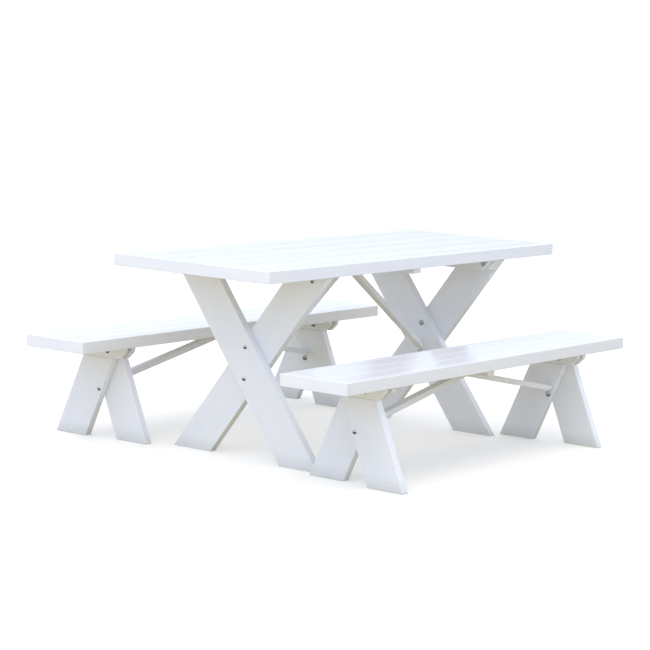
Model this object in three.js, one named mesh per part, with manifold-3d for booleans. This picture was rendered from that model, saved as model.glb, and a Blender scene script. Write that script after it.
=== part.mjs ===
// A painted timber picnic set: one table on crossed legs and two loose benches on splayed legs.
// Millimetres, +Z up. X runs along the table, the front bench is on the -Y side.
// The origin is on the ground, midway between the two benches.
import * as THREE from "three";
import { mergeVertices } from "three/addons/utils/BufferGeometryUtils.js";
import Module from "manifold-3d";

const FIT = 0.3; // gap between pieces that touch
const JOINT = 1.6; // open joint between neighbouring boards
const BOARD = 22; // thickness of the top boards, the rails and the cleats
const RAIL_DEPTH = 44;
const CLEAT_DEPTH = 68;
const CENTRE_CLEAT = 44; // square batten under the middle of each top
const LEG_THICKNESS = 32;
const NOTCH_GAP = 4; // clearance where a table leg is sawn out under the side rail
const BRACE_WIDTH = 32;
const BRACE_DEPTH = 21;
const BRACE_TOE = 8; // the sharp lower corner of a brace, sawn off level

// A coach bolt with its washer and nut.
const BOLT = {
  radius: 4,
  headRadius: 8.5,
  headHeight: 4.6,
  domeSteps: 4,
  sides: 20,
  washerRadius: 11,
  washerThickness: 1.6,
  nutRadius: 7.5, // to the hexagon's corners
  nutHeight: 6.5,
  threadEnd: 3, // how far the thread stands out of the nut
};

const TABLE = {
  length: 1830,
  width: 710,
  height: 740,
  boards: 5,
  frameOut: 590, // outer face of each leg frame, from the middle of the table
  legWidth: 140,
  crossing: 355, // height where the legs' centre lines cross
  lean: (36.5 * Math.PI) / 180,
  boltSpread: 58, // each crossing bolt's height above or below the crossing
  cleatShort: 14, // how far each cleat ends short of the side rails
  cleatBevel: 36, // the lower corners of each cleat, sawn off
  braceLow: 320, // middle of a brace at the leg frame, and at the side of the centre cleat
  braceHigh: 668,
  nearer: 38, // the table stands this much nearer to the front bench
};

const BENCH = {
  length: 1830,
  width: 285,
  height: 400,
  boards: 3,
  frameOut: 666,
  legWidth: 140,
  crossing: 334,
  lean: (22.6 * Math.PI) / 180,
  cleatProud: 1, // how far each housed cleat stands out of the legs
  cleatShort: FIT,
  cleatBevel: 28,
  braceLow: 212,
  braceHigh: 325,
  offset: 597, // middle of the bench from the origin
};

const paint = new THREE.MeshStandardMaterial({ color: 0xe4e9f2, roughness: 0.28, metalness: 0 });
const zinc = new THREE.MeshStandardMaterial({ color: 0xa9b0aa, roughness: 0.35, metalness: 1 });

const wasm = await Module();
wasm.setup();

// A closed mesh as a manifold-3d solid.
function solid(geometry) {
  const plain = geometry.clone();
  plain.deleteAttribute("normal");
  plain.deleteAttribute("uv");
  const merged = mergeVertices(plain, 1e-4);
  const mesh = new wasm.Mesh({
    numProp: 3,
    vertProperties: new Float32Array(merged.attributes.position.array),
    triVerts: new Uint32Array(merged.index.array),
  });
  return new wasm.Manifold(mesh);
}

function geometryOf(manifold) {
  const mesh = manifold.getMesh();
  const geometry = new THREE.BufferGeometry();
  geometry.setAttribute("position", new THREE.BufferAttribute(mesh.vertProperties, 3));
  geometry.setIndex(new THREE.BufferAttribute(mesh.triVerts, 1));
  geometry.computeVertexNormals();
  return geometry;
}

function piece(group, name, geometry, material = paint) {
  const mesh = new THREE.Mesh(geometry, material);
  mesh.name = name;
  group.add(mesh);
  return mesh;
}

// A plain board between two opposite corners.
function block(group, name, low, high) {
  const size = high.map((value, axis) => value - low[axis]);
  const mesh = piece(group, name, new THREE.BoxGeometry(...size));
  mesh.position.set(...low.map((value, axis) => value + size[axis] / 2));
  return mesh;
}

function shapeOf(points) {
  return new THREE.Shape(points.map(([a, b]) => new THREE.Vector2(a, b)));
}

// An outline drawn in Y and Z, as a board of the given thickness that starts at x = 0.
function acrossBoard(shape, thickness) {
  const geometry = new THREE.ExtrudeGeometry(shape, { depth: thickness, bevelEnabled: false });
  geometry.rotateX(Math.PI / 2);
  geometry.rotateZ(Math.PI / 2);
  return geometry;
}

// An outline drawn in X and Z, as a batten centred on y = 0.
function alongBatten(shape, width) {
  const geometry = new THREE.ExtrudeGeometry(shape, { depth: width, bevelEnabled: false });
  geometry.translate(0, 0, -width / 2);
  geometry.rotateX(Math.PI / 2);
  return geometry;
}

// Where a layer of a leg frame lies in X: side is -1 on the left and 1 on the right, depth is
// measured inwards from the frame's outer face.
function layerStart(spec, side, depth, thickness) {
  return side < 0 ? -spec.frameOut + depth : spec.frameOut - depth - thickness;
}

// Where a leg's edge is in Y at a given height. The foot stands towards +Y when foot is 1 and
// towards -Y when it is -1, and sideOfLeg is 1 for the edge on the foot's side.
function legEdge(spec, foot, height, sideOfLeg) {
  const half = spec.legWidth / 2 / Math.cos(spec.lean);
  return foot * ((spec.crossing - height) * Math.tan(spec.lean) + sideOfLeg * half);
}

// A leg's outline, foot on the ground and top under the boards, leaning away from the foot.
// Where the top would run into the side rail, its corner is sawn off.
function legOutline(spec, foot) {
  const edge = (height, sideOfLeg) => legEdge(spec, foot, height, sideOfLeg);
  const top = spec.height - BOARD - FIT;
  const underRail = spec.height - RAIL_DEPTH - NOTCH_GAP;
  const inside = -foot * (spec.width / 2 - BOARD - FIT);
  const points = [
    [edge(0, -1), 0],
    [edge(0, 1), 0],
    [edge(top, 1), top],
  ];
  if (Math.abs(edge(top, -1)) > Math.abs(inside)) {
    points.push([inside, top], [inside, underRail], [edge(underRail, -1), underRail]);
  } else {
    points.push([edge(top, -1), top]);
  }
  return shapeOf(points);
}

// A cleat's outline: square on top, with its two lower corners sawn off.
function cleatOutline(spec) {
  const end = spec.width / 2 - BOARD - spec.cleatShort;
  const top = spec.height - BOARD - FIT;
  const bottom = spec.height - BOARD - CLEAT_DEPTH;
  return shapeOf([
    [-end + spec.cleatBevel, bottom],
    [end - spec.cleatBevel, bottom],
    [end, bottom + spec.cleatBevel],
    [end, top],
    [-end, top],
    [-end, bottom + spec.cleatBevel],
  ]);
}

// The top of a table or bench: boards lengthwise, closed in by a rail on each edge.
function addTop(group, prefix, boardName, spec) {
  const endX = spec.length / 2;
  const sideY = spec.width / 2;
  const top = spec.height;
  const railBottom = top - RAIL_DEPTH;
  for (const [side, word] of [[-1, "left"], [1, "right"]]) {
    const xs = [side * (endX - BOARD), side * endX].sort((a, b) => a - b);
    block(group, `${prefix}_end_rail_${word}`, [xs[0], -sideY, railBottom], [xs[1], sideY, top]);
  }
  for (const [side, word] of [[-1, "front"], [1, "back"]]) {
    const ys = [side * (sideY - BOARD), side * sideY].sort((a, b) => a - b);
    const reach = endX - BOARD - FIT;
    block(group, `${prefix}_side_rail_${word}`, [-reach, ys[0], railBottom], [reach, ys[1], top]);
  }
  const inner = sideY - BOARD;
  const width = (2 * inner - (spec.boards + 1) * JOINT) / spec.boards;
  const reach = endX - BOARD - JOINT;
  for (let i = 0; i < spec.boards; i++) {
    const y = -inner + JOINT + i * (width + JOINT);
    block(group, `${prefix}_${boardName}_${i + 1}`, [-reach, y, top - BOARD], [reach, y + width, top]);
  }
}

// The square batten across the middle, which the braces run up under.
function addCentreCleat(group, prefix, spec) {
  const end = spec.width / 2 - BOARD - FIT;
  const top = spec.height - BOARD - FIT;
  const bottom = spec.height - BOARD - CENTRE_CLEAT;
  block(
    group,
    `${prefix}_centre_cleat`,
    [-CENTRE_CLEAT / 2, -end, bottom],
    [CENTRE_CLEAT / 2, end, top],
  );
}

// A brace from the inner face of a leg frame up to the centre cleat. Its head is sawn level under
// the cleat and plumb where it meets the other brace.
function addBrace(group, name, spec, side, frameFace) {
  const foot = frameFace - FIT;
  const head = FIT / 2;
  const ceiling = spec.height - BOARD - CENTRE_CLEAT - FIT;
  const slope = (spec.braceHigh - spec.braceLow) / (foot - CENTRE_CLEAT / 2);
  const half = BRACE_DEPTH / 2 / Math.cos(Math.atan(slope));
  const line = (x, edge) => spec.braceLow + (foot - x) * slope + edge * half;
  const toe = line(foot, -1) + BRACE_TOE;
  const sawn = foot - (ceiling - line(foot, 1)) / slope;
  const outline = [
    [head, line(head, -1)],
    [foot - (BRACE_TOE / slope), toe],
    [foot, toe],
    [foot, line(foot, 1)],
    [sawn, ceiling],
    [head, ceiling],
  ];
  const mirrored = outline.map(([x, z]) => [side * x, z]);
  piece(group, name, alongBatten(shapeOf(mirrored), BRACE_WIDTH));
}

// The bolt holes through a table leg, one above and one below the crossing.
function drill(shape) {
  for (const step of [-1, 1]) {
    const hole = new THREE.Path();
    hole.absarc(0, TABLE.crossing + step * TABLE.boltSpread, BOLT.radius + FIT, 0, 2 * Math.PI);
    shape.holes.push(hole);
  }
  return shape;
}

// A coach bolt through two legs: domed head outside, washer and hexagon nut inside.
function boltGeometry(grip) {
  const face = grip + FIT;
  const washerTop = face + BOLT.washerThickness;
  const tail = washerTop + BOLT.nutHeight + BOLT.threadEnd;
  const dome = [];
  for (let i = 0; i <= BOLT.domeSteps; i++) {
    const turn = (i / BOLT.domeSteps) * (Math.PI / 2);
    const out = BOLT.headRadius * Math.sin(turn);
    dome.push(new THREE.Vector2(out, -FIT - BOLT.headHeight * Math.cos(turn)));
  }
  const profile = [
    ...dome,
    new THREE.Vector2(BOLT.radius, -FIT),
    new THREE.Vector2(BOLT.radius, face),
    new THREE.Vector2(BOLT.washerRadius, face),
    new THREE.Vector2(BOLT.washerRadius, washerTop),
    new THREE.Vector2(BOLT.radius, washerTop),
    new THREE.Vector2(BOLT.radius, tail),
    new THREE.Vector2(0, tail),
  ];
  const shank = solid(new THREE.LatheGeometry(profile, BOLT.sides));
  const hidden = BOLT.washerThickness / 2; // the nut starts inside the washer, so that they join
  const tall = BOLT.nutHeight + hidden;
  const hexagon = new THREE.CylinderGeometry(BOLT.nutRadius, BOLT.nutRadius, tall, 6);
  hexagon.translate(0, washerTop - hidden + tall / 2, 0);
  const joined = geometryOf(shank.add(solid(hexagon)));
  joined.rotateZ(-Math.PI / 2);
  return joined;
}

// One crossed leg frame of the table: two legs face to face, a cleat behind the inner one, and a
// packer that fills the space between the outer leg and that cleat.
function addTableFrame(group, side, word) {
  const outerFoot = side; // the right frame is the left one turned half round
  const inner = LEG_THICKNESS + FIT;
  const cleatDepth = 2 * LEG_THICKNESS + 2 * FIT;
  const outer = acrossBoard(drill(legOutline(TABLE, outerFoot)), LEG_THICKNESS);
  const behind = acrossBoard(drill(legOutline(TABLE, -outerFoot)), LEG_THICKNESS);
  const cleat = acrossBoard(cleatOutline(TABLE), BOARD);
  piece(group, `table_leg_${word}_outer`, outer).position.x =
    layerStart(TABLE, side, 0, LEG_THICKNESS);
  piece(group, `table_leg_${word}_inner`, behind).position.x =
    layerStart(TABLE, side, inner, LEG_THICKNESS);
  piece(group, `table_cleat_${word}`, cleat).position.x =
    layerStart(TABLE, side, cleatDepth, BOARD);
  addPacker(group, side, word, outerFoot);
  for (const [step, level] of [[-1, "lower"], [1, "upper"]]) {
    const bolt = piece(group, `table_bolt_${word}_${level}`, boltGeometry(cleatDepth - FIT), zinc);
    bolt.position.set(side * TABLE.frameOut, 0, TABLE.crossing + step * TABLE.boltSpread);
    bolt.rotation.z = side < 0 ? 0 : Math.PI;
  }
}

// The packer has the leg's own slant and the cleat's depth, and stops at the side rail.
function addPacker(group, side, word, outerFoot) {
  const top = TABLE.height - BOARD - FIT;
  const bottom = TABLE.height - BOARD - CLEAT_DEPTH;
  const inside = TABLE.width / 2 - BOARD - FIT;
  const half = TABLE.legWidth / 2 / Math.cos(TABLE.lean);
  const meetsRail = TABLE.crossing + (inside - half) / Math.tan(TABLE.lean);
  const outline = shapeOf([
    [legEdge(TABLE, outerFoot, bottom, 1), bottom],
    [legEdge(TABLE, outerFoot, top, 1), top],
    [-outerFoot * inside, top],
    [-outerFoot * inside, meetsRail],
    [legEdge(TABLE, outerFoot, bottom, -1), bottom],
  ]);
  piece(group, `table_packer_${word}`, acrossBoard(outline, LEG_THICKNESS)).position.x =
    layerStart(TABLE, side, LEG_THICKNESS + FIT, LEG_THICKNESS);
}

function buildTable() {
  const group = new THREE.Group();
  addTop(group, "table", "top_board", TABLE);
  addCentreCleat(group, "table", TABLE);
  const frameFace = TABLE.frameOut - 2 * LEG_THICKNESS - FIT;
  for (const [side, word] of [[-1, "left"], [1, "right"]]) {
    addTableFrame(group, side, word);
    addBrace(group, `table_brace_${word}`, TABLE, side, frameFace);
  }
  group.position.y = -TABLE.nearer;
  return group;
}

// A bench leg with the housing for its cleat sawn out of one face.
function housedLeg(foot, cutFromStart) {
  const leg = solid(acrossBoard(legOutline(BENCH, foot), LEG_THICKNESS));
  const depth = BOARD - BENCH.cleatProud + FIT;
  const bottom = BENCH.height - BOARD - CLEAT_DEPTH - FIT;
  const tool = new THREE.BoxGeometry(2 * depth, BENCH.width, 2 * (BENCH.height - bottom));
  tool.translate(cutFromStart ? 0 : LEG_THICKNESS, 0, BENCH.height);
  return geometryOf(leg.subtract(solid(tool)));
}

// One splayed leg frame of a bench: the outer leg and the inner leg cross under the seat, and each
// is housed over a cleat that lies flush in its free face.
function addBenchFrame(group, prefix, side, word, outerFoot) {
  const inner = LEG_THICKNESS + FIT;
  const outerCleat = -BENCH.cleatProud;
  const innerCleat = 2 * LEG_THICKNESS + FIT + BENCH.cleatProud - BOARD;
  const outer = housedLeg(outerFoot, side < 0);
  const behind = housedLeg(-outerFoot, side > 0);
  piece(group, `${prefix}_leg_${word}_outer`, outer).position.x =
    layerStart(BENCH, side, 0, LEG_THICKNESS);
  piece(group, `${prefix}_leg_${word}_inner`, behind).position.x =
    layerStart(BENCH, side, inner, LEG_THICKNESS);
  for (const [depth, layer] of [[outerCleat, "outer"], [innerCleat, "inner"]]) {
    const cleat = acrossBoard(cleatOutline(BENCH), BOARD);
    piece(group, `${prefix}_cleat_${word}_${layer}`, cleat).position.x =
      layerStart(BENCH, side, depth, BOARD);
  }
}

// A bench. Its outer legs' feet stand away from the table.
function buildBench(prefix, away) {
  const group = new THREE.Group();
  addTop(group, prefix, "seat_board", BENCH);
  addCentreCleat(group, prefix, BENCH);
  const frameFace = BENCH.frameOut - 2 * LEG_THICKNESS - FIT;
  for (const [side, word] of [[-1, "left"], [1, "right"]]) {
    addBenchFrame(group, prefix, side, word, away);
    addBrace(group, `${prefix}_brace_${word}`, BENCH, side, frameFace);
  }
  group.position.y = away * BENCH.offset;
  return group;
}

const set = new THREE.Group();
set.add(buildTable(), buildBench("front_bench", -1), buildBench("back_bench", 1));

export default set;
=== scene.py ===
import math

import bpy
from mathutils import Matrix, Vector
from mathutils.bvhtree import BVHTree


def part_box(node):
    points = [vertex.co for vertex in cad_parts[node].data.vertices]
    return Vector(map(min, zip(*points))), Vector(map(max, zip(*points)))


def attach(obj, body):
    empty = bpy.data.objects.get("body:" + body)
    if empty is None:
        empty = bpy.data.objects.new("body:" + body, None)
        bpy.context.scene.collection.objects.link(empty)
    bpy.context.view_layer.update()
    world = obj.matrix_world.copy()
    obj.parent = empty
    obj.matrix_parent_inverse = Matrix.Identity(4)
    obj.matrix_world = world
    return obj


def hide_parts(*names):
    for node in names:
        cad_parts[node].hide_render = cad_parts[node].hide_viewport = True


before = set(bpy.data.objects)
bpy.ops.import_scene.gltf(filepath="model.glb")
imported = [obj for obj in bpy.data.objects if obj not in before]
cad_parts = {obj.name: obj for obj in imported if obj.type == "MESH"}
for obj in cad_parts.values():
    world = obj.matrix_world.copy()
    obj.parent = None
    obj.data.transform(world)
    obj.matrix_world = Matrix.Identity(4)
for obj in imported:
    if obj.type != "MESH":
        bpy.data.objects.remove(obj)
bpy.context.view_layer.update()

MM = 0.001
WELD = 0.01 * MM  # points nearer than this are one point
BODIES = ("table", "front_bench", "back_bench")
ENDS = ((-1, "left"), (1, "right"))  # the -X and the +X end of the furniture
TIMBER_NODES = [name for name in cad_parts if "_bolt_" not in name]


# ---------------------------------------------------------------- helpers


def linear(hex_colour):
    """An sRGB hex colour as linear red, green, blue and alpha."""
    values = [int(hex_colour[i : i + 2], 16) / 255 for i in (1, 3, 5)]
    lit = [v / 12.92 if v <= 0.04045 else ((v + 0.055) / 1.055) ** 2.4 for v in values]
    return (*lit, 1.0)


def add(tree, kind, inputs=None, **settings):
    """Adds one shader node. A value in inputs is either a number or the socket that feeds it."""
    node = tree.nodes.new("ShaderNode" + kind)
    for name, value in settings.items():
        setattr(node, name, value)
    for name, value in (inputs or {}).items():
        if isinstance(value, bpy.types.NodeSocket):
            tree.links.new(value, node.inputs[name])
        else:
            node.inputs[name].default_value = value
    return node


def noise(tree, place, scale, detail, roughness=0.5):
    """Cloudy noise from 0 to 1."""
    inputs = {"Vector": place, "Scale": scale, "Detail": detail, "Roughness": roughness}
    return add(tree, "TexNoise", inputs).outputs["Fac"]


def ramp(tree, value, start, end, low=0.0, high=1.0):
    """Turns a value's range from start to end into the range from low to high."""
    inputs = {"Value": value, "From Min": start, "From Max": end, "To Min": low, "To Max": high}
    return add(tree, "MapRange", inputs).outputs["Result"]


def blend(tree, share, first, second):
    """Mixes two colours. Each is a hex colour or the socket that feeds it."""
    first, second = (linear(c) if isinstance(c, str) else c for c in (first, second))
    return add(tree, "MixRGB", {"Fac": share, "Color1": first, "Color2": second}).outputs["Color"]


def mix_shaders(tree, share, first, second):
    """Mixes the outputs of two shader nodes."""
    inputs = {0: share, 1: first.outputs[0], 2: second.outputs[0]}
    return add(tree, "MixShader", inputs)


def only(piece):
    """Deselects everything else and makes this piece the active one."""
    bpy.ops.object.select_all(action="DESELECT")
    piece.select_set(True)
    bpy.context.view_layer.objects.active = piece


def edit(piece):
    """Opens one piece in edit mode."""
    only(piece)
    bpy.ops.object.mode_set(mode="EDIT")


def leave_edit():
    bpy.ops.object.mode_set(mode="OBJECT")


def select_all_points():
    bpy.ops.mesh.select_all(action="SELECT")


def round_edges(piece, width, segments, degrees):
    """Rounds the edges that turn by more than an angle."""
    only(piece)
    bevel = piece.modifiers.new("rounded edges", "BEVEL")
    bevel.width = width
    bevel.segments = segments
    bevel.limit_method = "ANGLE"
    bevel.angle_limit = math.radians(degrees)
    bpy.ops.object.modifier_apply(modifier=bevel.name)


def body_of(node):
    """The body that a CAD node belongs to, from its name."""
    return next(body for body in BODIES if node.startswith(body + "_"))


def middle(node):
    """The middle of a CAD node's box."""
    low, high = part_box(node)
    return (low + high) / 2


# ---------------------------------------------------------------- materials


def new_material(name):
    material = bpy.data.materials.new(name)
    material.use_nodes = True
    material.node_tree.nodes.clear()
    return material, material.node_tree


RING_SPACING = 5 * MM
RING_STRETCH = 0.06  # how much slower the rings change along a board than across it
WAVE_TEXTURE_PITCH = 0.314  # width of one ring of the wave texture at scale 1
BRISTLE = (150 * MM, 2 * MM)  # length and width of a brush mark
BRISTLE_HEIGHT = 0.012 * MM
PLANE_WAVE = (320 * MM, 45 * MM)  # length and width of the waves that plane and brush leave

PAINT = "#f1f3f8"
PAINT_OVER_RING = "#dcdfe8"
PAINTED_REFLECTION_PATCH = "#e8ebf6"
PAINT_IOR = 1.5
# Painted reflection: bluish-grey patches of mirrored sky, painted into the enamel's colour along
# the slow waves.
DARK_RING = (0.6, 1.0)  # the part of a growth ring that is late wood
REFLECTION_PATCH_SPAN = (0.35, 0.75)  # the part of a wave that carries the painted reflection patch
REFLECTION_PATCH_STRENGTH = 0.4
NOISE_RANGE = (0.3, 0.7)  # most of the noise lies between these

SOIL = "#8f9280"
SOIL_HEIGHT = 50 * MM
SOIL_STRENGTH = 0.45
SOIL_SPECK = 9 * MM

ZINC_BRIGHT = "#e6ebea"
ZINC_DULL = "#c6cec6"
ZINC_ROUGHNESS = (0.12, 0.26)
ZINC_CLOUD = 4 * MM
ZINC_GRIT = 0.6 * MM
ZINC_GRIT_HEIGHT = 0.02 * MM


def stretched(tree, grain, size):
    """Grain coordinates in which a mark of this length and width is one unit."""
    length, width = size
    inputs = {"Vector": grain, "Scale": (1 / length, 1 / width, 1 / width)}
    return add(tree, "Mapping", inputs).outputs["Vector"]


def growth_rings(tree, grain):
    """The rings of the tree, cut lengthwise: long lines that wander and close in arches."""
    rings_at = add(tree, "Mapping", {"Vector": grain, "Scale": (RING_STRETCH, 1, 1)})
    inputs = {
        "Vector": rings_at.outputs["Vector"],
        "Scale": WAVE_TEXTURE_PITCH / RING_SPACING,
        "Distortion": 6.0,
        "Detail": 2.0,
        "Detail Scale": 0.6,
        "Detail Roughness": 0.5,
    }
    wave = add(tree, "TexWave", inputs, wave_type="RINGS", rings_direction="X")
    return wave.outputs["Fac"]


def gloss_enamel(name, wave_height, ring_height, ring_tint, dullness, stained_feet=False):
    """White oil enamel brushed on planed pine. The eye sees a wet, near-white gloss, brush marks
    and softened growth rings that run along each board, and slow waves in the reflections.
    The tint is how dark the rings show through, and the dullness is the roughness where the brush
    marks lie thickest."""
    material, tree = new_material(name)
    grain = add(tree, "Attribute", attribute_name="grain").outputs["Vector"]
    rings = growth_rings(tree, grain)
    brush = noise(tree, stretched(tree, grain, BRISTLE), 1.0, 3.0, 0.6)
    waves = noise(tree, stretched(tree, grain, PLANE_WAVE), 1.0, 2.0)

    tint = ramp(tree, rings, *DARK_RING, high=ring_tint)
    # Painted reflection: bluish-grey patches of mirrored sky, painted into the colour along the
    # waves.
    reflection_patch = ramp(tree, waves, *REFLECTION_PATCH_SPAN, high=REFLECTION_PATCH_STRENGTH)
    colour = blend(tree, reflection_patch, blend(tree, tint, PAINT, PAINT_OVER_RING), PAINTED_REFLECTION_PATCH)
    if stained_feet:
        colour = foot_stain(tree, colour)
    roughness = ramp(tree, brush, *NOISE_RANGE, dullness / 2, dullness)

    surface = {"Base Color": colour, "Roughness": roughness, "IOR": PAINT_IOR}
    for relief, height in (
        (waves, wave_height),
        (rings, ring_height),
        (brush, BRISTLE_HEIGHT),
    ):
        bump = {"Height": relief, "Distance": height, "Strength": 1.0}
        if "Normal" in surface:
            bump["Normal"] = surface["Normal"]
        surface["Normal"] = add(tree, "Bump", bump).outputs["Normal"]
    shader = add(tree, "BsdfPrincipled", surface)
    add(tree, "OutputMaterial", {"Surface": shader.outputs["BSDF"]})
    return material


def foot_stain(tree, colour):
    """Soil splash and moss on the feet, fading upwards and broken up into specks."""
    place = add(tree, "TexCoord").outputs["Object"]
    height = add(tree, "SeparateXYZ", {"Vector": place}).outputs["Z"]
    low = ramp(tree, height, 0.0, SOIL_HEIGHT, SOIL_STRENGTH, 0.0)
    specks = noise(tree, place, 1 / SOIL_SPECK, 4.0, 0.7)
    amount = add(tree, "Math", {0: low, 1: specks}, operation="MULTIPLY").outputs["Value"]
    return blend(tree, amount, colour, SOIL)


def zinc_plate():
    """Bright zinc plated steel. The eye sees a grey mirror with a faint yellow and green cast,
    dulled in cloudy patches."""
    material, tree = new_material("zinc plated steel")
    place = add(tree, "TexCoord").outputs["Object"]
    clouds = noise(tree, place, 1 / ZINC_CLOUD, 3.0, 0.6)
    grit = noise(tree, place, 1 / ZINC_GRIT, 2.0)
    bump = add(tree, "Bump", {"Height": grit, "Distance": ZINC_GRIT_HEIGHT, "Strength": 1.0})
    surface = {
        "Base Color": blend(tree, clouds, ZINC_BRIGHT, ZINC_DULL),
        "Roughness": ramp(tree, clouds, *NOISE_RANGE, *ZINC_ROUGHNESS),
        "Normal": bump.outputs["Normal"],
        "Metallic": 1.0,
    }
    shader = add(tree, "BsdfPrincipled", surface)
    add(tree, "OutputMaterial", {"Surface": shader.outputs["BSDF"]})
    return material


# ---------------------------------------------------------------- timber


ARRIS = 2.4 * MM
LEG_ARRIS = 3.6 * MM
CUP = 0.5 * MM  # how far the middle of a board lies below its edges

# Where in the tree the boards are cut from: each one further along the trunk than the last, and
# one of a few distances out from its heart.
TRUNK_STEP = 1.73
HEART_ACROSS = (45 * MM, 11 * MM, 5)  # nearest distance, step and number of steps
HEART_THROUGH = (30 * MM, 13 * MM, 3)


def copied_node(node):
    """A clean copy of a CAD node's shape: doubles merged, flat faces joined up."""
    board = bpy.data.objects.new(node + "_painted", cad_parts[node].data.copy())
    bpy.context.scene.collection.objects.link(board)
    board.data.materials.clear()
    only(board)
    bpy.ops.mesh.customdata_custom_splitnormals_clear()
    edit(board)
    select_all_points()
    bpy.ops.mesh.remove_doubles(threshold=WELD)
    bpy.ops.mesh.dissolve_limited(angle_limit=math.radians(1))
    leave_edit()
    return board


def board_axes(board):
    """Unit vectors along, across and through a board: its longest edge and its largest face."""
    mesh = board.data
    places = [v.co for v in mesh.vertices]
    edges = [places[e.vertices[1]] - places[e.vertices[0]] for e in mesh.edges]
    along = max(edges, key=lambda edge: edge.length).normalized()
    through = max(mesh.polygons, key=lambda face: face.area).normal.normalized()
    return along, through.cross(along).normalized(), through


def hollow(board, node):
    """Cups a board that lies along X: three lengthwise cuts, and the middle of its face lowered."""
    low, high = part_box(node)
    edit(board)
    for share in (0.25, 0.5, 0.75):
        select_all_points()
        bpy.ops.mesh.bisect(plane_co=low.lerp(high, share), plane_no=(0, 1, 0))
    leave_edit()
    centre = (low + high) / 2
    for vertex in board.data.vertices:
        offset = (vertex.co.y - centre.y) / (high.y - centre.y)
        if vertex.co.z > centre.z:
            vertex.co.z -= CUP * (1 - offset * offset)


def ease(board, arris):
    """Rounds the sharp edges as a hand plane and thick paint leave them."""
    only(board)
    bpy.ops.object.shade_smooth()
    round_edges(board, arris, 3, 30)
    flat = board.modifiers.new("flat faces", "WEIGHTED_NORMAL")
    flat.keep_sharp = True
    bpy.ops.object.modifier_apply(modifier=flat.name)


def lay_grain(board, node, axes, number):
    """Stores each point's place along, across and through its board, in metres, so that the grain
    follows the board. Each board is cut from another part of the tree."""
    along, across, through = axes
    start = middle(node)
    heart = [near + step * (number % steps) for near, step, steps in (HEART_ACROSS, HEART_THROUGH)]
    cut_at = Vector((TRUNK_STEP * number, *heart))
    grain = board.data.attributes.new("grain", "FLOAT_VECTOR", "POINT")
    for vertex, stored in zip(board.data.vertices, grain.data):
        offset = vertex.co - start
        place = (offset.dot(along), offset.dot(across), offset.dot(through))
        stored.vector = Vector(place) + cut_at


rail_paint = gloss_enamel(
    "white gloss enamel on pine",
    wave_height=0.12 * MM,
    ring_height=0.015 * MM,
    ring_tint=0.12,
    dullness=0.3,
)
board_paint = gloss_enamel(
    "white gloss enamel on weathered pine boards",
    wave_height=0.75 * MM,
    ring_height=0.05 * MM,
    ring_tint=0.45,
    dullness=0.2,
)
leg_paint = gloss_enamel(
    "white gloss enamel on pine, feet in the grass",
    wave_height=0.15 * MM,
    ring_height=0.02 * MM,
    ring_tint=0.15,
    dullness=0.3,
    stained_feet=True,
)

painted = {}
for number, node in enumerate(TIMBER_NODES):
    board = copied_node(node)
    axes = board_axes(board)
    arris, paint = ARRIS, rail_paint
    if "_leg_" in node:
        arris, paint = LEG_ARRIS, leg_paint
    elif "_board_" in node:
        paint = board_paint
        hollow(board, node)
    ease(board, arris)
    lay_grain(board, node, axes, number)
    board.data.materials.append(paint)
    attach(board, body_of(node))
    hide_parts(node)
    painted[node] = board


# ---------------------------------------------------------------- bolts

HEAD_RADIUS = 8.5 * MM
HEAD_HEIGHT = 4.6 * MM
HEAD_STEPS = 9
HEAD_FULLNESS = 0.9  # 1 is an ellipse, less is blunter
SHANK_RADIUS = 4 * MM
THREAD_PITCH = 1.25 * MM
THREAD_DEPTH = 0.7 * MM
THREAD_TURNS = 3  # beyond the nut
THREAD_SUNK = 0.5 * MM  # the thread starts this far inside the nut's face
WASHER_RADIUS = 11 * MM
WASHER = 1.6 * MM
PRESSED_EDGE = 0.3 * MM  # rounding of the head's seat and of the washer
NUT_RADIUS = 7.5 * MM
NUT_HEIGHT = 6.5 * MM
NUT_RIM = 2.6 * MM
NUT_DISH = 0.4 * MM
NUT_CHAMFER = 0.5 * MM
SPIN_STEPS = 40
SMOOTH_BELOW = math.radians(35)

zinc = zinc_plate()


def turned(name, profile):
    """Spins a profile of (along, radius) points round the X axis and closes it."""
    mesh = bpy.data.meshes.new(name)
    points = [(along, 0, radius) for along, radius in profile]
    mesh.from_pydata(points, [(i, i + 1) for i in range(len(points) - 1)], [])
    piece = bpy.data.objects.new(name, mesh)
    bpy.context.scene.collection.objects.link(piece)
    edit(piece)
    select_all_points()
    bpy.ops.mesh.spin(steps=SPIN_STEPS, angle=2 * math.pi, center=(0, 0, 0), axis=(1, 0, 0))
    select_all_points()
    bpy.ops.mesh.remove_doubles(threshold=WELD)
    bpy.ops.mesh.normals_make_consistent(inside=False)
    leave_edit()
    return piece


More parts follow.
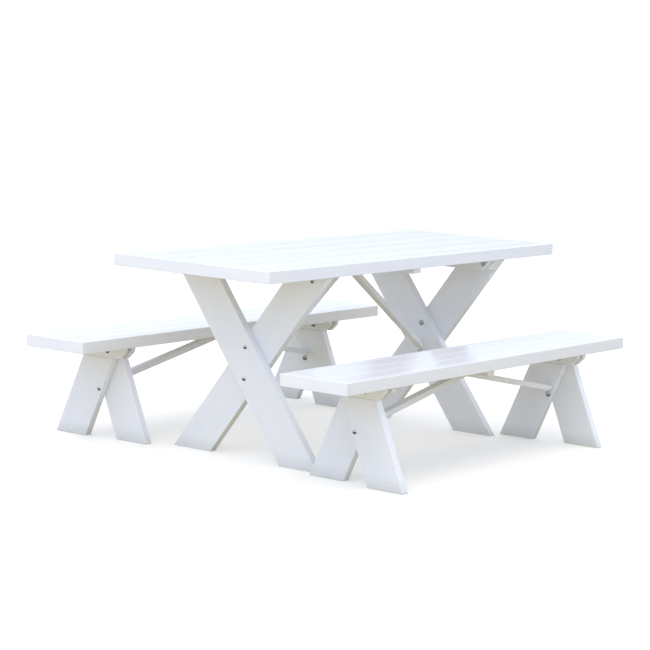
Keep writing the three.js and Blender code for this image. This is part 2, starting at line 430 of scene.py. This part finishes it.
def bolt_profile(grip, nut_face):
    """Half a coach bolt's outline along X: domed head, shank, washer and the thread's end."""
    turns = [i / HEAD_STEPS * math.pi / 2 for i in range(HEAD_STEPS + 1)]
    outline = [
        (-HEAD_HEIGHT * math.cos(turn), HEAD_RADIUS * math.sin(turn) ** HEAD_FULLNESS)
        for turn in turns
    ]
    outline += [
        (0, HEAD_RADIUS - PRESSED_EDGE),
        (0, SHANK_RADIUS),
        (grip, SHANK_RADIUS),
        (grip, WASHER_RADIUS - PRESSED_EDGE),
        (grip + PRESSED_EDGE, WASHER_RADIUS),
        (grip + WASHER - PRESSED_EDGE, WASHER_RADIUS),
        (grip + WASHER, WASHER_RADIUS - PRESSED_EDGE),
        (grip + WASHER, SHANK_RADIUS),
        (nut_face - THREAD_SUNK, SHANK_RADIUS),
    ]
    for turn in range(THREAD_TURNS):
        start = nut_face + turn * THREAD_PITCH
        outline += [
            (start, SHANK_RADIUS),
            (start + THREAD_PITCH / 2, SHANK_RADIUS - THREAD_DEPTH),
        ]
    end = nut_face + THREAD_TURNS * THREAD_PITCH
    return outline + [(end, SHANK_RADIUS - THREAD_DEPTH), (end, 0)]


def model_nut(nut_face):
    """A six-sided nut on the X axis, dished and chamfered."""
    bpy.ops.object.select_all(action="DESELECT")
    bpy.ops.mesh.primitive_cylinder_add(
        vertices=6,
        radius=NUT_RADIUS,
        depth=NUT_HEIGHT,
        location=(nut_face - NUT_HEIGHT / 2, 0, 0),
        rotation=(0, math.pi / 2, 0),
    )
    nut = bpy.context.object
    bpy.ops.object.transform_apply()
    edit(nut)
    bpy.ops.mesh.select_all(action="DESELECT")
    leave_edit()
    for face in nut.data.polygons:
        face.select = face.center.x > nut_face - WELD
    edit(nut)
    bpy.ops.mesh.inset(thickness=NUT_RIM)
    bpy.ops.mesh.extrude_region_move(TRANSFORM_OT_translate={"value": (-NUT_DISH, 0, 0)})
    leave_edit()
    round_edges(nut, NUT_CHAMFER, 2, 40)
    return nut


def model_bolt(grip):
    """A coach bolt along X. Its head's seat is at x = 0 and its washer's is one grip further."""
    nut_face = grip + WASHER + NUT_HEIGHT
    bolt = turned("bolt pattern", bolt_profile(grip, nut_face))
    nut = model_nut(nut_face)
    only(bolt)
    nut.select_set(True)
    bpy.ops.object.join()
    bpy.ops.object.shade_smooth_by_angle(angle=SMOOTH_BELOW)
    return bolt


bolt_patterns = {}


def bolt_mesh(grip):
    """Each length of bolt is modelled once, and every bolt is a copy of it."""
    key = round(grip / MM)
    if key not in bolt_patterns:
        pattern = model_bolt(grip)
        bolt_patterns[key] = pattern.data
        bpy.data.objects.remove(pattern)
    return bolt_patterns[key].copy()


def hardware(name, body, mesh, placing, node=None):
    """Sets one piece of zinc hardware in its place on a body."""
    item = bpy.data.objects.new(name, mesh)
    bpy.context.scene.collection.objects.link(item)
    mesh.name = name
    mesh.transform(placing)
    mesh.materials.append(zinc)
    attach(item, body)
    if node:
        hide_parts(node)


def fit_bolt(name, body, at, side, grip, node=None):
    """Sets a bolt with its head's seat at the given place. side is -1 where the head faces -X."""
    turn = Matrix.Identity(4) if side < 0 else Matrix.Rotation(math.pi, 4, "Z")
    hardware(name, body, bolt_mesh(grip), Matrix.Translation(at) @ turn, node)


def outer_face(node, side):
    """The X of the face that a node turns towards its own end of the furniture."""
    low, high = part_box(node)
    return low.x if side < 0 else high.x


def inner_face(node, side):
    """The X of the face that a node turns towards the middle of the furniture."""
    return outer_face(node, -side)


# How far the bolts in the leg tops lie from the middle plane and below the top face.
TOP_BOLT_REACH = {"left": 268 * MM, "right": 294 * MM}
TOP_BOLT_DROP = {"left": 64 * MM, "right": 61 * MM}
BENCH_BOLT_REACH = 39 * MM
BENCH_BOLT_DROP = 66 * MM
BENCH_LOW_BOLT = 188 * MM  # height of the bolt through a bench's crossing

table_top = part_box("table_end_rail_left")[1].z
table_y = middle("table_end_rail_left").y
for side, word in ENDS:
    leg_out = f"table_leg_{word}_outer"
    leg_in = f"table_leg_{word}_inner"
    cleat = f"table_cleat_{word}"
    for level in ("lower", "upper"):
        node = f"table_bolt_{word}_{level}"
        at = middle(node)
        at.x = outer_face(leg_out, side)
        grip = abs(inner_face(leg_in, side) - at.x)
        fit_bolt(f"{node}_zinc", "table", at, side, grip, node)
    for leg, foot in ((leg_out, side), (leg_in, -side)):
        x = outer_face(leg, side)
        grip = abs(inner_face(cleat, side) - x)
        y = table_y - foot * TOP_BOLT_REACH[word]
        at = Vector((x, y, table_top - TOP_BOLT_DROP[word]))
        fit_bolt(f"{leg}_top_bolt", "table", at, side, grip)

for bench in ("front_bench", "back_bench"):
    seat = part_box(f"{bench}_end_rail_left")[1].z
    bench_y = middle(f"{bench}_end_rail_left").y
    for side, word in ENDS:
        legs = [f"{bench}_leg_{word}_{layer}" for layer in ("outer", "inner")]
        cleats = [f"{bench}_cleat_{word}_{layer}" for layer in ("outer", "inner")]
        x = outer_face(legs[0], side)
        grip = abs(inner_face(legs[1], side) - x)
        at = Vector((x, bench_y, BENCH_LOW_BOLT))
        fit_bolt(f"{bench}_low_bolt_{word}", bench, at, side, grip)
        x = outer_face(cleats[0], side)
        grip = abs(inner_face(cleats[1], side) - x)
        for hand, place in ((-1, "front"), (1, "back")):
            at = Vector((x, bench_y + hand * BENCH_BOLT_REACH, seat - BENCH_BOLT_DROP))
            fit_bolt(f"{bench}_cleat_bolt_{word}_{place}", bench, at, side, grip)


# ---------------------------------------------------------------- screws

SCREW_RADIUS = 4.3 * MM
SCREW_DEPTH = 2.4 * MM
SCREW_PROUD = 0.3 * MM
CROSS_LENGTH = 4.6 * MM
CROSS_WIDTH = 1.0 * MM
CROSS_DEPTH = 1.4 * MM
SCREW_TAPER = 0.45  # the countersink's narrow end as a share of its face
SCREW_RIM = 0.15 * MM
SCREW_INWARD = 0.88  # keeps the outermost screws clear of the bolts
BRACE_SCREW = 16 * MM  # from the middle of the centre cleat


def model_screw():
    """A countersunk screw head that faces down, with a cross recess."""
    bpy.ops.object.select_all(action="DESELECT")
    bpy.ops.mesh.primitive_cylinder_add(
        vertices=28,
        radius=SCREW_RADIUS,
        depth=SCREW_DEPTH,
        location=(0, 0, SCREW_DEPTH / 2 - SCREW_PROUD),
    )
    screw = bpy.context.object
    bpy.ops.object.transform_apply()
    edit(screw)
    bpy.ops.mesh.select_all(action="DESELECT")
    leave_edit()
    for face in screw.data.polygons:
        face.select = face.normal.z > 0.9
    edit(screw)
    bpy.ops.transform.resize(value=(SCREW_TAPER, SCREW_TAPER, 1))
    leave_edit()
    for arm in ((CROSS_LENGTH, CROSS_WIDTH), (CROSS_WIDTH, CROSS_LENGTH)):
        bpy.ops.object.select_all(action="DESELECT")
        bpy.ops.mesh.primitive_cube_add(size=1, location=(0, 0, -SCREW_PROUD))
        cutter = bpy.context.object
        edit(cutter)
        bpy.ops.transform.resize(value=(*arm, 2 * CROSS_DEPTH))
        leave_edit()
        only(screw)
        recess = screw.modifiers.new("cross recess", "BOOLEAN")
        recess.object = cutter
        recess.operation = "DIFFERENCE"
        bpy.ops.object.modifier_apply(modifier=recess.name)
        bpy.data.objects.remove(cutter)
    round_edges(screw, SCREW_RIM, 2, 40)
    bpy.ops.object.shade_smooth_by_angle(angle=SMOOTH_BELOW)
    mesh = screw.data
    bpy.data.objects.remove(screw)
    return mesh


screw_pattern = model_screw()


def fit_screw(node, number, x, y):
    """Drives a screw up into the underside of a board at the given place."""
    mesh = painted[node].data
    points = [v.co for v in mesh.vertices]
    surface = BVHTree.FromPolygons(points, [f.vertices for f in mesh.polygons])
    place, normal, _, _ = surface.ray_cast(Vector((x, y, 0)), Vector((0, 0, 1)))
    turn = Vector((0, 0, -1)).rotation_difference(normal).to_matrix().to_4x4()
    placing = Matrix.Translation(place) @ turn
    hardware(f"{node}_screw_{number}", body_of(node), screw_pattern.copy(), placing)


for group, board_name, boards in (
    ("table", "top_board", 5),
    ("front_bench", "seat_board", 3),
    ("back_bench", "seat_board", 3),
):
    centre = middle(f"{group}_centre_cleat")
    for number in range(1, boards + 1):
        reach = middle(f"{group}_{board_name}_{number}").y - centre.y
        y = centre.y + reach * SCREW_INWARD
        # The braces' heads cover the middle of a centre cleat.
        if number != (boards + 1) // 2:
            fit_screw(f"{group}_centre_cleat", number, centre.x, y)
        if group == "table":
            for _, word in ENDS:
                cleat = f"table_cleat_{word}"
                fit_screw(cleat, number, middle(cleat).x, y)
    for side, word in ENDS:
        fit_screw(f"{group}_brace_{word}", 1, side * BRACE_SCREW, centre.y)


# ---------------------------------------------------------------- studio

FLOOR_SIZE = 60
FLOOR_DROP = 0.2 * MM
FLOOR = "#f8f6f1"
FLOOR_GLOW = "#fffaf0"
FLOOR_GLOW_STRENGTH = 0.16
CLEAR_UNDER = 5 * MM

LAMP = "#fff8ec"
LAMP_AT = Vector((-5.0, -1.5, 6.5))
LAMP_TARGET = Vector((0, 0, 0.4))
LAMP_SIZE = 4.0
LAMP_POWER = 75

# The light: bluish white near the horizon on the back left and dull on the front right, bluer
# halfway up and a soft warm white overhead, with the straw colour of a dry lawn from below.
BRIGHT_SIDE = "#dce6fc"
DULL_SIDE = "#989692"
DULL_DIRECTION = (0.85, -0.5, 0)
SIDE_TO_SIDE = (-0.8, 0.8)  # how far along that direction the horizon goes from bright to dull
HALFWAY_UP = "#c0d0ef"
OVERHEAD = "#dad4cb"
LAWN = "#d8cba4"
FAR_GROUND = "#8f9584"
LOW_SKY = (0.05, 0.45)  # heights, where 0 is the horizon and 1 straight up
HIGH_SKY = (0.45, 0.95)
GROUND_EDGE = (-0.02, 0.03)
LIGHT_STRENGTH = 1.83
# What the gloss mirrors: a pale sky above a soft line of trees, and dark grass below.
MIRRORED_SKY = "#e9f0ff"
MIRRORED_TREES = "#808b9c"
MIRRORED_GRASS = "#56625c"
TREE_LINE = (0.055, 0.105)
GRASS_EDGE = (-0.06, 0.0)
MIRROR_STRENGTH = 1.26


def pale_floor():
    """A matt pale studio floor, clear from below and to rays that start right above it, so that the
    underside and the soles can be looked at. What it sends up to the furniture is the light of a
    dry lawn, shaded where the furniture stands over it."""
    material, tree = new_material("pale floor")
    seen = add(
        tree,
        "BsdfPrincipled",
        {
            "Base Color": linear(FLOOR),
            "Roughness": 0.9,
            "Emission Color": linear(FLOOR_GLOW),
            "Emission Strength": FLOOR_GLOW_STRENGTH,
        },
    )
    lawn = add(tree, "BsdfDiffuse", {"Color": linear(LAWN)})
    ray = add(tree, "LightPath").outputs
    top = mix_shaders(tree, ray["Is Camera Ray"], lawn, seen)
    behind = add(tree, "NewGeometry").outputs["Backfacing"]
    near = {0: ray["Ray Length"], 1: CLEAR_UNDER}
    close = add(tree, "Math", near, operation="LESS_THAN").outputs["Value"]
    open_to = add(tree, "Math", {0: behind, 1: close}, operation="MAXIMUM").outputs["Value"]
    surface = mix_shaders(tree, open_to, top, add(tree, "BsdfTransparent"))
    add(tree, "OutputMaterial", {"Surface": surface.outputs["Shader"]})
    return material


def light_world():
    """The open air round the furniture: plain white to the camera, one soft environment for the
    light and a crisper one for the gloss."""
    world = bpy.data.worlds.new("studio")
    bpy.context.scene.world = world
    world.use_nodes = True
    tree = world.node_tree
    tree.nodes.clear()
    direction = add(tree, "TexCoord").outputs["Generated"]
    up = add(tree, "SeparateXYZ", {"Vector": direction}).outputs["Z"]

    def band(heights, below, above):
        """Blends two colours over a range of height."""
        return blend(tree, ramp(tree, up, *heights), below, above)

    towards = {0: direction, 1: DULL_DIRECTION}
    dull = add(tree, "VectorMath", towards, operation="DOT_PRODUCT").outputs["Value"]
    horizon = blend(tree, ramp(tree, dull, *SIDE_TO_SIDE), BRIGHT_SIDE, DULL_SIDE)
    sky = band(HIGH_SKY, band(LOW_SKY, horizon, HALFWAY_UP), OVERHEAD)
    glow = band(GROUND_EDGE, FAR_GROUND, sky)
    mirrored = band(GRASS_EDGE, MIRRORED_GRASS, band(TREE_LINE, MIRRORED_TREES, MIRRORED_SKY))

    light = add(tree, "Background", {"Color": glow, "Strength": LIGHT_STRENGTH})
    shine = add(tree, "Background", {"Color": mirrored, "Strength": MIRROR_STRENGTH})
    seen = add(tree, "Background", {"Color": linear("#ffffff"), "Strength": 1.0})
    ray = add(tree, "LightPath").outputs
    lit = mix_shaders(tree, ray["Is Glossy Ray"], light, shine)
    surface = mix_shaders(tree, ray["Is Camera Ray"], lit, seen)
    add(tree, "OutputWorld", {"Surface": surface.outputs["Shader"]})


bpy.ops.object.select_all(action="DESELECT")
bpy.ops.mesh.primitive_plane_add(size=FLOOR_SIZE, location=(0, 0, -FLOOR_DROP))
floor = bpy.context.object
floor.name = "floor"
floor.data.materials.append(pale_floor())
floor.visible_glossy = False

softbox = bpy.data.lights.new("high softbox", "AREA")
softbox.shape = "SQUARE"
softbox.size = LAMP_SIZE
softbox.energy = LAMP_POWER
softbox.color = linear(LAMP)[:3]
lamp = bpy.data.objects.new("high softbox", softbox)
bpy.context.scene.collection.objects.link(lamp)
lamp.location = LAMP_AT
lamp.rotation_euler = (LAMP_TARGET - LAMP_AT).to_track_quat("-Z", "Y").to_euler()

light_world()
bpy.context.scene.view_settings.view_transform = "Standard"


# ---------------------------------------------------------------- camera

CAMERA_AT = Vector((-7.094, -5.267, 1.599))
HEADING = 0.643  # radians from +X towards +Y
PITCH = -0.1305
ROLL = 0.0396
LENS = 129.3
SENSOR = 36
FAR_CLIP = 200

ahead = Vector((math.cos(HEADING), math.sin(HEADING), 0))
look = ahead * math.cos(PITCH) + Vector((0, 0, math.sin(PITCH)))
level_right = Vector((ahead.y, -ahead.x, 0))
level_up = level_right.cross(look)
right = level_right * math.cos(ROLL) + level_up * math.sin(ROLL)
turned_up = level_up * math.cos(ROLL) - level_right * math.sin(ROLL)
camera_data = bpy.data.cameras.new("camera")
camera_data.lens = LENS
camera_data.sensor_width = SENSOR
camera_data.clip_end = FAR_CLIP
camera = bpy.data.objects.new("camera", camera_data)
bpy.context.scene.collection.objects.link(camera)
turn = Matrix((right, turned_up, -look)).transposed().to_4x4()
camera.matrix_world = Matrix.Translation(CAMERA_AT) @ turn
bpy.context.scene.camera = camera
